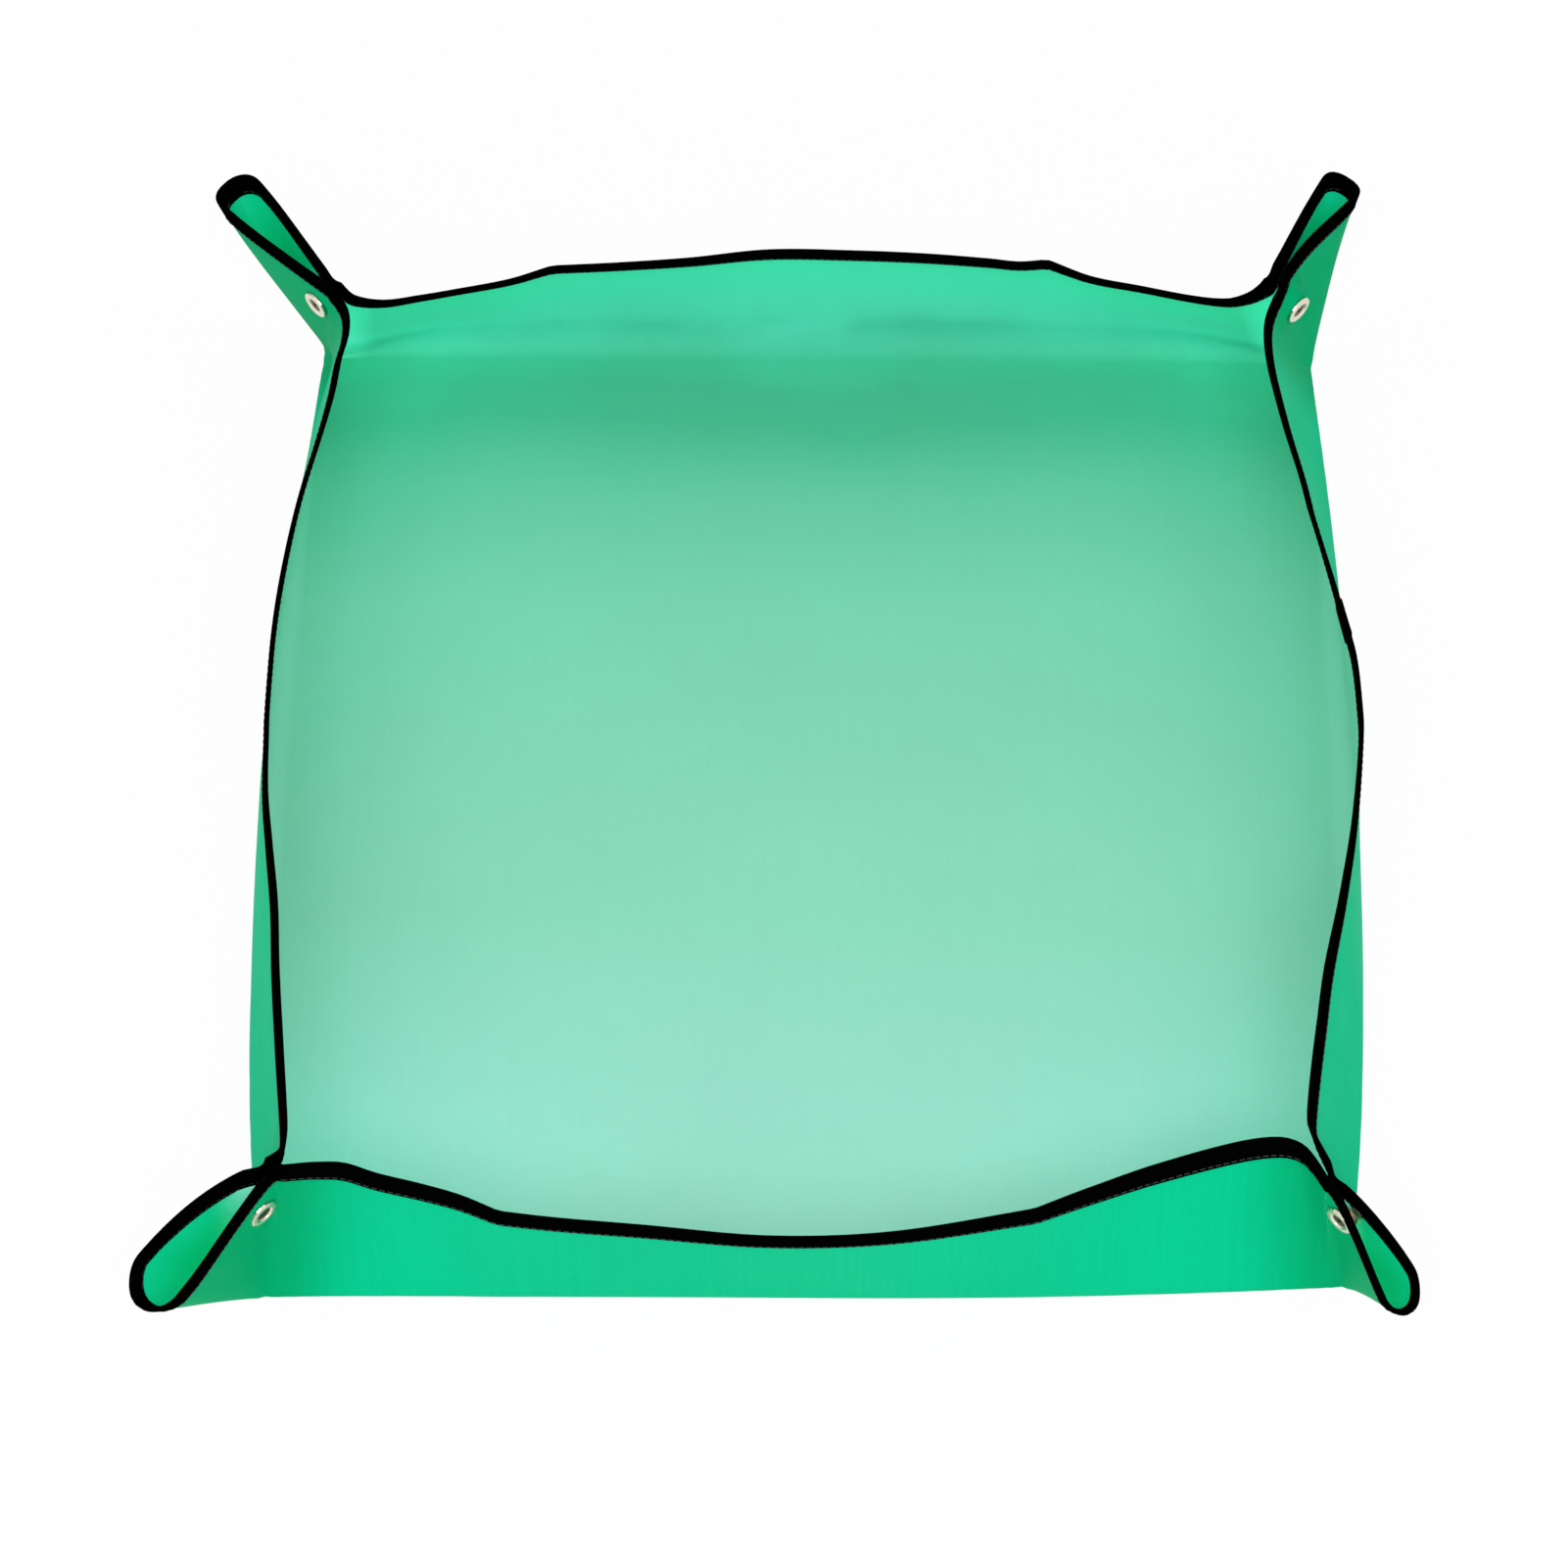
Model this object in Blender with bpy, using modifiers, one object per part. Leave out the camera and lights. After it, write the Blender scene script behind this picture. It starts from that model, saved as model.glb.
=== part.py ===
"""A square repotting mat: a coated fabric sheet whose four corners are pinched and
snapped, so that its sides stand up as walls and a leaf-shaped ear sticks out at each
corner. A folded tape binds the whole edge, and a press stud holds each corner.

Units are metres, +Z is up, and the origin is the middle of the floor panel's underside.
The front of the mat faces -Y.
"""
import math

import bmesh
import bpy
from mathutils import Matrix, Vector

# The sheet
mat_side = 0.680
wall_height = 0.090
corner_radius = 0.025
sheet_thickness = 0.0008

# How the corners are pinched and how the walls stand
pinch_inset = 0.013
wall_lean = math.radians(8.0)
leaf_bulge = 0.0070
tip_half_gap = 0.0068
floor_corner_radius = 0.004

# The binding tape, folded over the edge
tape_width = 0.0110
tape_thickness = 0.0005
lap_length = 0.018
lap_place_share = 0.24

# The press studs, named from the outer side of one layer to the outer side of the other
snap_drop = 0.025
snap_radius = 0.0075
pad_margin = 0.0015
post_ring_height = 0.0013
post_recess_radius = 0.0040
post_recess_height = 0.0005
post_tube_radius = 0.0016
post_bore_radius = 0.0010
stud_radius = 0.0054
stud_flange_thickness = 0.0006
stud_knob_radius = 0.0031
stud_neck_radius = 0.0026
stud_knob_height = 0.0009
socket_radius = 0.0062
socket_plate_thickness = 0.0005
socket_room_height = 0.0006
socket_lip_height = 0.0004
socket_mouth_play = 0.0005
socket_groove_depth = 0.0008
spring_wire_radius = 0.0003
cap_dome_height = 0.0018
cap_edge_height = 0.0004
shank_radius = 0.0012

# The gap kept between pieces that touch
clearance = 0.0003

# How finely the shapes are divided
wall_columns = 28
wall_rows = 3
ear_columns = 11
tip_columns = 4
ear_rows = 4
turned_steps = 18
dome_steps = 4
spring_points = 12
cutter_sides = 16

MAT = "repotting_mat"
CUTTERS = "repotting_mat_cutters"

GREEN = ("coated_fabric", (0.0, 0.42, 0.22, 1.0), 0.45, 0.0)
BLACK = ("binding_tape", (0.012, 0.012, 0.012, 1.0), 0.85, 0.0)
METAL = ("stud_metal", (0.80, 0.74, 0.58, 1.0), 0.30, 1.0)

# Worked out from the sizes above
half_floor = mat_side / 2 - wall_height
middle_height = sheet_thickness / 2
tape_slot = sheet_thickness / 2 + clearance
tape_half = tape_slot + tape_thickness
groove_half = spring_wire_radius + clearance
socket_mouth_radius = stud_knob_radius + socket_mouth_play
socket_groove_radius = socket_mouth_radius + socket_groove_depth
socket_height = socket_plate_thickness + socket_room_height + 2 * groove_half + socket_lip_height
stud_neck_height = socket_height - socket_plate_thickness - stud_knob_height
pinch_gap = 2 * tape_slot + stud_flange_thickness + clearance + socket_height
pinch_shift = pinch_gap / 2 * math.sqrt(2)
pinch_height = math.sqrt(wall_height ** 2 - pinch_inset ** 2)
corner_line = math.hypot(wall_height, pinch_inset)
corner_lean = math.asin(pinch_inset / wall_height)
wall_fold = math.pi / 2 + corner_lean
ear_fold = math.acos(math.cos(corner_lean) / math.sqrt(2))
keel_angle = math.radians(135.0) - math.atan2(wall_height, pinch_inset)
sheet_inset = tape_thickness + clearance
wall_setback = sheet_thickness / 2 * math.tan(wall_fold / 2) + clearance
ear_setback = sheet_thickness / 2 * math.tan(ear_fold / 2) + clearance
tape_setback = tape_half * math.tan(ear_fold / 2) + clearance
rim_straight = wall_height + pinch_inset - corner_radius
keel_to_centre = (wall_height - corner_radius) * math.sqrt(2)
snap_across = snap_radius + pad_margin
snap_up = corner_line - snap_drop - snap_across * pinch_inset / wall_height
pad_width = snap_across + snap_radius + pad_margin
tip_across = (keel_to_centre + corner_radius) * math.sin(keel_angle)
keel_spread = tip_half_gap - pinch_gap / 2

# Each wall: its name, the direction along it and the direction out of the tray
X, Y, Z = Vector((1, 0, 0)), Vector((0, 1, 0)), Vector((0, 0, 1))
WALLS = (
    ("front", X, -Y),
    ("right", Y, X),
    ("back", -X, Y),
    ("left", -Y, -X),
)

# Each corner: its name, the wall at whose end the visible stud half sits, that end, and
# the wall and the end of the other half
CORNERS = (
    ("front_left", "front", -1, "left", 1),
    ("front_right", "front", 1, "right", -1),
    ("back_right", "right", 1, "back", -1),
    ("back_left", "left", -1, "back", 1),
)


def clear_scene():
    for item in list(bpy.data.objects):
        bpy.data.objects.remove(item, do_unlink=True)


def collection(name):
    group = bpy.data.collections.new(name)
    bpy.context.scene.collection.children.link(group)
    return group


def finish(item, look):
    """Gives the piece its own material."""
    kind, colour, roughness, metallic = look
    material = bpy.data.materials.new(item.name + "_" + kind)
    material.use_nodes = True
    shader = material.node_tree.nodes["Principled BSDF"]
    shader.inputs["Base Color"].default_value = colour
    shader.inputs["Roughness"].default_value = roughness
    shader.inputs["Metallic"].default_value = metallic
    item.data.materials.append(material)


def add(name, mesh, group, parent=None):
    """Links the piece. Its mesh is given in the mat's frame and its origin is its parent's."""
    item = bpy.data.objects.new(name, mesh)
    group.objects.link(item)
    if parent is not None:
        mesh.transform(parent.matrix_world.inverted())
        item.parent = parent
    return item


def joint_empty(name, group, place, axis):
    """An empty on a fold line, with its Z axis along the fold."""
    empty = bpy.data.objects.new(name, None)
    empty.empty_display_size = snap_radius
    turn = Z.rotation_difference(axis)
    empty.matrix_world = Matrix.Translation(place) @ turn.to_matrix().to_4x4()
    group.objects.link(empty)
    bpy.context.view_layer.update()
    return empty


def grid_mesh(name, columns, rows, place):
    """An open sheet of columns by rows faces, whose corners are put by place(i, j)."""
    mesh = bpy.data.meshes.new(name)
    sheet = bmesh.new()
    bmesh.ops.create_grid(sheet, x_segments=columns, y_segments=rows, size=1.0)
    for corner in sheet.verts:
        i = round((corner.co.x + 1.0) / 2.0 * columns)
        j = round((corner.co.y + 1.0) / 2.0 * rows)
        corner.co = place(i, j)
    bmesh.ops.remove_doubles(sheet, verts=sheet.verts, dist=clearance / 10)
    sheet.to_mesh(mesh)
    sheet.free()
    return mesh


def thicken(item, thickness):
    shell = item.modifiers.new("thickness", "SOLIDIFY")
    shell.thickness = thickness
    shell.offset = 0.0
    shell.use_even_offset = True


def tape_section(j):
    """The folded tape's middle line: its depth from the rim and its side, for point j of 4."""
    leg = tape_slot + tape_thickness / 2
    depth = tape_width if j in (0, 3) else tape_thickness / 2
    return depth, leg if j < 2 else -leg


def lap_section(j):
    """The same, for the tape's end that laps over the tape already sewn on."""
    leg = tape_half + clearance + tape_thickness / 2
    web = -clearance - tape_thickness / 2
    depth = tape_width + clearance if j in (0, 3) else web
    return depth, leg if j < 2 else -leg


class Wall:
    """One side of the tray: a sheet that leans in at its ends and out in its middle."""

    def __init__(self, name, along, out):
        self.name = name
        self.along = along
        self.out = out
        self.fold = out * half_floor + Z * middle_height

    def lean(self, share):
        """The wall's lean from upright, outward, at a share of the way from middle to end."""
        bump = 0.5 + 0.5 * math.cos(math.pi * share)
        return -corner_lean + (wall_lean + corner_lean) * bump

    def point(self, share, up, end_gap=0.0):
        """The middle of the sheet at a share from -1 to 1 along it, a height up the sheet."""
        lean = self.lean(share)
        side = half_floor - pinch_shift - end_gap - pinch_inset * up / wall_height
        return (self.fold + self.along * (side * share)
                + self.out * (up * math.sin(lean)) + Z * (up * math.cos(lean)))

    def normal(self, share, up, end_gap):
        step = 1.0 / wall_columns
        across = self.point(share + step, up, end_gap) - self.point(share - step, up, end_gap)
        rise = self.point(share, wall_height, end_gap) - self.point(share, 0.0, end_gap)
        return across.cross(rise).normalized()

    def panel(self):
        low = wall_setback
        high = wall_height - tape_width
        top = wall_height - sheet_inset

        def place(i, j):
            share = 2.0 * i / wall_columns - 1.0
            up = top if j == wall_rows else low + (high - low) * j / (wall_rows - 1)
            return self.point(share, up, ear_setback)

        return grid_mesh("wall", wall_columns, wall_rows, place)

    def tape(self, section, first, last, columns):
        """The tape along the rim from one share to another."""
        def place(i, j):
            share = first + (last - first) * i / columns
            depth, offset = section(j)
            up = wall_height - depth
            return self.point(share, up, tape_setback) + self.normal(share, up, tape_setback) * offset

        return grid_mesh("tape", columns, 3, place)


class HalfEar:
    """One layer of a corner's ear, from the pinched line out to the keel fold."""

    def __init__(self, wall, end):
        lean_out = pinch_inset * math.sqrt(2) / corner_line
        rise = pinch_height / corner_line
        outward = (wall.along * end + wall.out).normalized()
        self.start = wall.point(end, 0.0)
        self.up = Z * rise - outward * lean_out
        self.across = outward * rise + Z * lean_out
        self.side = (wall.out - wall.along * end).normalized()
        self.axis = self.up * end
        self.centre = self.flat_keel(keel_to_centre)
        self.inward = self.turned(math.pi / 4)

    @staticmethod
    def flat_keel(distance):
        return Vector((math.cos(keel_angle), math.sin(keel_angle))) * distance

    @staticmethod
    def turned(angle):
        """A unit vector in the layer's plane, at an angle back from the keel towards the rim."""
        return Vector((math.cos(keel_angle - angle), math.sin(keel_angle - angle)))

    def bulge(self, up, across):
        """How far the layer stands off its pinched plane, away from the other layer."""
        share = min(max((across - pad_width) / (tip_across - pad_width), 0.0), 1.0)
        keel = across / math.tan(keel_angle)
        rim = corner_line - across * pinch_inset / wall_height
        height = min(max((up - keel) / max(rim - keel, clearance), 0.0), 1.0)
        ease = share * share * (3.0 - 2.0 * share)
        leaf = math.sin(math.pi * share) ** 2
        return keel_spread * ease + leaf_bulge * leaf * height

    def surface(self, flat):
        up, across = flat
        return (self.start + self.up * up + self.across * across
                + self.side * self.bulge(up, across))

    def normal(self, flat):
        step = clearance
        rise = self.surface(flat + Vector((step, 0.0))) - self.surface(flat - Vector((step, 0.0)))
        run = self.surface(flat + Vector((0.0, step))) - self.surface(flat - Vector((0.0, step)))
        normal = rise.cross(run).normalized()
        return normal if normal.dot(self.side) > 0 else -normal

    def flat_point(self, column, depth, setback):
        """A point in the layer's plane at a depth in from the rim, for a column of the ear."""
        start = Vector((corner_line, 0.0))
        foot = self.centre + self.inward * corner_radius
        clear = Vector((0.0, setback))
        if column <= ear_columns:
            share = column / ear_columns
            rim = start + (foot - start) * share
            skew = (foot - start).normalized() * (depth * pinch_inset / wall_height * (1.0 - share))
            return rim - self.inward * depth + skew + clear * (1.0 - share)
        turn = math.pi / 4 * (1.0 - (column - ear_columns) / tip_columns)
        return self.centre + self.turned(turn) * (corner_radius - depth)

    def flat_keel_point(self, column, setback):
        share = min(column / ear_columns, 1.0)
        return self.centre * share + Vector((0.0, setback)) * (1.0 - share)

    def panel(self):
        def place(i, j):
            if j == ear_rows:
                return self.surface(self.flat_point(i, sheet_inset, ear_setback))
            inner = self.flat_point(i, tape_width, ear_setback)
            keel = self.flat_keel_point(i, ear_setback)
            return self.surface(keel.lerp(inner, j / (ear_rows - 1)))

        return grid_mesh("ear", ear_columns + tip_columns, ear_rows, place)

    def tape(self):
        def place(i, j):
            depth, offset = tape_section(j)
            flat = self.flat_point(i, depth, tape_setback)
            return self.surface(flat) + self.normal(flat) * offset

        return grid_mesh("ear_tape", ear_columns + tip_columns, 3, place)

    def snap_frame(self):
        """Where the stud passes through the layer, with +Z out of the ear."""
        place = self.surface(Vector((snap_up, snap_across)))
        return Matrix.Translation(place) @ Z.rotation_difference(self.side).to_matrix().to_4x4()


def floor_panel(group):
    half = half_floor - wall_setback
    mesh = bpy.data.meshes.new("floor_panel")
    slab = bmesh.new()
    bmesh.ops.create_cube(slab, size=1.0)
    size = Matrix.Diagonal((2 * half, 2 * half, sheet_thickness, 1.0))
    bmesh.ops.transform(slab, matrix=Matrix.Translation(Z * middle_height) @ size, verts=slab.verts)
    upright = [edge for edge in slab.edges if abs(edge.verts[0].co.z - edge.verts[1].co.z) > clearance]
    bmesh.ops.bevel(slab, geom=upright, offset=floor_corner_radius, segments=3, affect="EDGES",
                    profile=0.5)
    slab.to_mesh(mesh)
    slab.free()
    item = add("floor_panel", mesh, group)
    finish(item, GREEN)
    return item


def turned(name, profile, frame, group, parent):
    """A turned piece: a closed or an axis-to-axis profile of (radius, height) points."""
    mesh = bpy.data.meshes.new(name)
    outline = bmesh.new()
    points = [outline.verts.new((radius, 0.0, height)) for radius, height in profile]
    for first, second in zip(points, points[1:]):
        outline.edges.new((first, second))
    if profile[0][0] > 0.0:
        outline.edges.new((points[-1], points[0]))
    outline.to_mesh(mesh)
    outline.free()
    item = bpy.data.objects.new(name, mesh)
    group.objects.link(item)
    item.parent = parent
    item.matrix_world = frame
    screw = item.modifiers.new("turn", "SCREW")
    screw.axis = "Z"
    screw.steps = turned_steps
    screw.render_steps = turned_steps
    screw.use_merge_vertices = True
    screw.merge_threshold = clearance / 10
    screw.use_smooth_shade = False
    finish(item, METAL)
    return item


def post_profile():
    """The ring that shows outside, with its tube through the layer and the stud."""
    base = tape_slot
    end = -(tape_slot + stud_flange_thickness + stud_neck_height + stud_knob_height - clearance)
    return (
        (snap_radius - post_ring_height * 0.7, base + post_ring_height),
        (snap_radius - post_ring_height * 0.15, base + post_ring_height * 0.7),
        (snap_radius, base),
        (post_tube_radius, base),
        (post_tube_radius, end),
        (post_bore_radius, end),
        (post_bore_radius, base + post_recess_height),
        (post_recess_radius, base + post_recess_height),
        (post_recess_radius + post_ring_height * 0.6, base + post_ring_height),
    )


def stud_profile():
    """The male half: a flange against the layer, a neck and a round knob."""
    hole = post_tube_radius + clearance
    flange = -tape_slot
    neck = flange - stud_flange_thickness
    knob = neck - stud_neck_height
    end = knob - stud_knob_height
    return (
        (stud_radius, flange),
        (stud_radius, neck),
        (stud_neck_radius, neck),
        (stud_neck_radius, knob),
        (stud_knob_radius, knob - stud_knob_height * 0.3),
        (stud_knob_radius, knob - stud_knob_height * 0.6),
        (stud_neck_radius, end),
        (hole, end),
        (hole, flange),
    )


def socket_profile():
    """The female half: a plate against the layer and a mouth with a groove for its spring."""
    hole = shank_radius + clearance
    plate = -tape_slot
    inner = plate - socket_plate_thickness
    end = plate - socket_height
    lip = end + socket_lip_height
    room = lip + 2 * groove_half
    return (
        (socket_radius, plate),
        (socket_radius, end + clearance),
        (socket_radius - clearance, end),
        (socket_mouth_radius, end),
        (socket_mouth_radius, lip),
        (socket_groove_radius, lip),
        (socket_groove_radius, room),
        (socket_mouth_radius, room),
        (socket_mouth_radius, inner),
        (hole, inner),
        (hole, plate),
    )


def cap_profile():
    """The plain domed cap outside, with its shank through the layer and the socket."""
    base = tape_slot
    rise = cap_dome_height - cap_edge_height
    dome = []
    for step in range(dome_steps + 1):
        angle = math.pi / 2 * step / dome_steps
        dome.append((snap_radius * math.sin(angle), base + cap_edge_height + rise * math.cos(angle)))
    dome[0] = (0.0, base + cap_dome_height)
    end = -(tape_slot + socket_plate_thickness)
    return tuple(dome) + (
        (snap_radius, base),
        (shank_radius, base),
        (shank_radius, end),
        (0.0, end),
    )


def spring(name, frame, group, parent):
    """The open ring of wire inside the socket."""
    radius = (socket_mouth_radius + socket_groove_radius) / 2 - spring_wire_radius
    height = socket_lip_height + groove_half - tape_slot - socket_height
    curve = bpy.data.curves.new(name, "CURVE")
    curve.dimensions = "3D"
    curve.bevel_depth = spring_wire_radius
    curve.bevel_resolution = 1
    curve.use_fill_caps = True
    line = curve.splines.new("POLY")
    line.points.add(spring_points - 1)
    for step, point in enumerate(line.points):
        angle = math.radians(20.0) + math.radians(320.0) * step / (spring_points - 1)
        point.co = (radius * math.cos(angle), radius * math.sin(angle), height, 1.0)
    item = bpy.data.objects.new(name, curve)
    group.objects.link(item)
    item.parent = parent
    item.matrix_world = frame
    finish(item, METAL)
    return item


def cut_hole(item, radius, frame, cutters):
    """A round hole through the layer, for a stud's tube or shank."""
    mesh = bpy.data.meshes.new("hole")
    drill = bmesh.new()
    bmesh.ops.create_cone(drill, cap_ends=True, segments=cutter_sides, radius1=radius,
                          radius2=radius, depth=snap_radius)
    drill.to_mesh(mesh)
    drill.free()
    cutter = bpy.data.objects.new("cut_" + item.name, mesh)
    cutters.objects.link(cutter)
    cutter.matrix_world = frame
    cutter.hide_render = True
    cutter.display_type = "WIRE"
    cut = item.modifiers.new("stud_hole", "BOOLEAN")
    cut.operation = "DIFFERENCE"
    cut.solver = "EXACT"
    cut.object = cutter


def build():
    clear_scene()
    group = collection(MAT)
    cutters = collection(CUTTERS)
    floor_panel(group)

    walls = {}
    folds = {}
    for name, along, out in WALLS:
        wall = Wall(name, along, out)
        walls[name] = wall
        fold = joint_empty("fold_" + name, group, wall.fold, along)
        folds[name] = fold
        panel = add("wall_" + name, wall.panel(), group, fold)
        thicken(panel, sheet_thickness)
        finish(panel, GREEN)
        tape = add("binding_" + name, wall.tape(tape_section, -1.0, 1.0, wall_columns), group, fold)
        thicken(tape, tape_thickness)
        finish(tape, BLACK)

    right = walls["right"]
    lap_half = lap_length / 2 / half_floor
    lap = right.tape(lap_section, lap_place_share - lap_half, lap_place_share + lap_half, 2)
    lap_end = add("binding_lap_right", lap, group, folds["right"])
    thicken(lap_end, tape_thickness)
    finish(lap_end, BLACK)

    for corner, post_wall, post_end, cap_wall, cap_end in CORNERS:
        for wall_name, end, is_post in ((post_wall, post_end, True), (cap_wall, cap_end, False)):
            ear = HalfEar(walls[wall_name], end)
            label = corner + "_" + wall_name
            crease = joint_empty("crease_" + label, group, ear.start, ear.axis)
            crease.parent = folds[wall_name]
            crease.matrix_parent_inverse = folds[wall_name].matrix_world.inverted()
            bpy.context.view_layer.update()
            panel = add("ear_" + label, ear.panel(), group, crease)
            thicken(panel, sheet_thickness)
            finish(panel, GREEN)
            frame = ear.snap_frame()
            hole = post_tube_radius if is_post else shank_radius
            cut_hole(panel, hole + clearance, frame, cutters)
            tape = add("ear_binding_" + label, ear.tape(), group, crease)
            thicken(tape, tape_thickness)
            finish(tape, BLACK)
            if is_post:
                turned("snap_post_" + corner, post_profile(), frame, group, crease)
                turned("snap_stud_" + corner, stud_profile(), frame, group, crease)
            else:
                turned("snap_cap_" + corner, cap_profile(), frame, group, crease)
                turned("snap_socket_" + corner, socket_profile(), frame, group, crease)
                spring("snap_spring_" + corner, frame, group, crease)


build()
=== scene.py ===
"""Repotting mat: a square sheet of coated fabric, bound all round, its corners snapped into ears."""
import math

import bpy
from mathutils import Matrix, Vector


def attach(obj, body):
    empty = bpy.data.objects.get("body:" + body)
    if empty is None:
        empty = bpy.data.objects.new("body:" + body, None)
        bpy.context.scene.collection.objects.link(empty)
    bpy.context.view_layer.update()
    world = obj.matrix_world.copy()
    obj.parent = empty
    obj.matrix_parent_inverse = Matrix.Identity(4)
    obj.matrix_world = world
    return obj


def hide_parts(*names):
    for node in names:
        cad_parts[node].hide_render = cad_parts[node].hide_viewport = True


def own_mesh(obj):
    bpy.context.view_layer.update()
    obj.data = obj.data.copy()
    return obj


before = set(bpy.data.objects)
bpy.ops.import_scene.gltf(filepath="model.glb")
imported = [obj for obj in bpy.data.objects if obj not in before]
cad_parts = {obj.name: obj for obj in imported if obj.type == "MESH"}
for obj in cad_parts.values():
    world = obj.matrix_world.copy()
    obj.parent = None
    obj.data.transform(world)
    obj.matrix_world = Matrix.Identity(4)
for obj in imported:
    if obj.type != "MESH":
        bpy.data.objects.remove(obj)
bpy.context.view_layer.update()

# dimensions, in millimetres
MM = 0.001
WALL_HEIGHT = 90.0
CORNER_INSET = 13.0          # how far a wall's top corner stands in from its base corner
FLOOR_HALF = 250.0
LAYER_GAP = 5.0              # between the two layers of an ear at the snap
CORNER_SHIFT = LAYER_GAP / math.sqrt(2)
RIM_RADIUS = 25.0            # of the sheet's own rounded corners
SHEET = 0.8
SHEET_LEVEL = 0.4            # middle of the floor panel above the table
TAPE_WIDTH = 11.0
TAPE_OVERHANG = 0.3          # of the tape's fold past the sheet's edge
TAPE_THICKNESS = 2.4
STITCH_DEPTH = 9.2           # of the stitches from the rim
STITCH_PITCH = 3.6
STITCH_LENGTH = 2.5
STITCH_WIDTH = 0.55
STITCH_THICKNESS = 2.75
STITCH_STEPS = 4             # faces along one stitch
STITCH_END_SHARE = 0.88      # of the thickness, at a stitch's ends
SNAP_DROP = 25.0
SNAP_OUT = 9.0
SNAP_CLEAR = 8.5             # radius of the flat pad around a snap
SNAP_EASE = 7.0              # over which the fabric leaves that pad
LAP_PLACE_SHARE = 0.24       # of the tape's lapped end along the right wall
LAP_HALF = 9.0
LAP_EXTRA = 1.1              # the lap's thickness over that of the tape
LAP_STEPS = 14
FLOOR_STEPS = 60
FLOOR_LIFT = 0.9             # of the floor off the table, away from its edges
FLOOR_LIFT_REACH = 60.0
FLOOR_WAVES = ((47.0, 0.6), (61.0, -0.4))     # length of a radian and start, in x and y
VALLEY_WIDTH = 45.0          # of the valley beside a corner line: painted shade on the back, and a pale painted glow on the face
FINE_STEP = 0.8              # of the mesh along a wall, at its corners
COARSE_STEP = 4.2
COARSE_REACH = 25.0          # the distance from a corner at which the steps are coarse

UP = Vector((0, 0, 1))
CORNER_LINE = math.hypot(WALL_HEIGHT, CORNER_INSET)
CORNER_RISE = math.sqrt(WALL_HEIGHT ** 2 - CORNER_INSET ** 2)
CORNER_LEAN = -math.asin(CORNER_INSET / WALL_HEIGHT)
KEEL_ANGLE = math.radians(135) - math.atan2(WALL_HEIGHT, CORNER_INSET)
TIP_REACH = (WALL_HEIGHT - RIM_RADIUS) * math.sqrt(2) + RIM_RADIUS
TIP_ACROSS = TIP_REACH * math.sin(KEEL_ANGLE)
HALF_TURN = math.tan(math.radians(22.8))      # of the fold beside a corner line, on either side
EAR_EASE = 14.0              # over which an ear opens from its corner line
KEEL_SLOPE = math.tan(math.radians(28.0))     # of an ear's keel against the table

WALLS = {
    "front": (Vector((1, 0, 0)), Vector((0, -1, 0))),
    "right": (Vector((0, 1, 0)), Vector((1, 0, 0))),
    "back": (Vector((-1, 0, 0)), Vector((0, 1, 0))),
    "left": (Vector((0, -1, 0)), Vector((-1, 0, 0))),
}
# each corner's halves as (wall, end), the post half first
CORNERS = {
    "front_left": (("front", -1), ("left", 1)),
    "front_right": (("right", -1), ("front", 1)),
    "back_right": (("back", -1), ("right", 1)),
    "back_left": (("left", -1), ("back", 1)),
}

# outward lean of each wall, in degrees, at shares of its half length
LEAN = {
    "front": [(-1, -8.3), (-0.985, -8.4), (-0.931, -12.3), (-0.879, -14.6), (-0.818, -13.0), (-0.737, -11.2),
              (-0.655, -8.2), (-0.58, -3.4), (-0.483, -2.0), (-0.308, 0.0), (-0.061, 3.3), (0.172, 1.7),
              (0.447, -6.1), (0.559, -13.7), (0.688, -21.5), (0.828, -26.9), (0.912, -26.3), (0.962, -20.6),
              (1, -8.3)],
    "back": [(-1, -8.3), (-0.989, -9.1), (-0.948, -12.6), (-0.898, -15.3), (-0.818, -15.1), (-0.712, -12.0),
             (-0.606, -8.0), (-0.516, -0.7), (-0.457, -1.7), (-0.392, -0.3), (-0.253, 2.0), (-0.101, 3.3),
             (0.081, 3.6), (0.253, -0.6), (0.413, -3.2), (0.548, -4.8), (0.637, -10.7), (0.748, -14.7),
             (0.831, -16.6), (0.903, -16.8), (0.969, -12.9), (1, -8.3)],
    "left": [(-1, -8.3), (-0.958, -13.5), (-0.909, -15.8), (-0.852, -15.7), (-0.768, -15.9), (-0.66, -14.2),
             (-0.509, -10.4), (-0.346, -7.6), (-0.212, -6.3), (-0.082, -6.4), (0.046, -7.1), (0.176, -8.1),
             (0.288, -10.6), (0.424, -13.6), (0.548, -14.6), (0.732, -15.5), (0.89, -14.5), (0.971, -11.8),
             (1, -8.3)],
    "right": [(-1, -8.3), (-0.98, -8.9), (-0.954, -11.4), (-0.918, -15.2), (-0.88, -18.0), (-0.778, -19.1),
              (-0.658, -18.1), (-0.548, -16.0), (-0.388, -10.1), (-0.225, -4.6), (-0.033, -0.2), (0.033, 0.1),
              (0.148, -0.7), (0.239, -3.6), (0.388, -8.6), (0.497, -12.3), (0.573, -13.9), (0.696, -16.9),
              (0.811, -18.0), (0.885, -17.1), (0.945, -14.1), (1, -8.3)],
}
CURL = {"back": math.radians(24.0)}           # the turn of a curled lip, at the middle of its wall
CURL_HEIGHT = 18.0
CURL_FADE = 4                # the power by which the lip uncurls along its wall
KINKS = {"front": (-0.58, 0.447), "back": (-0.516, 0.548), "left": (), "right": (0.497,)}
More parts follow.
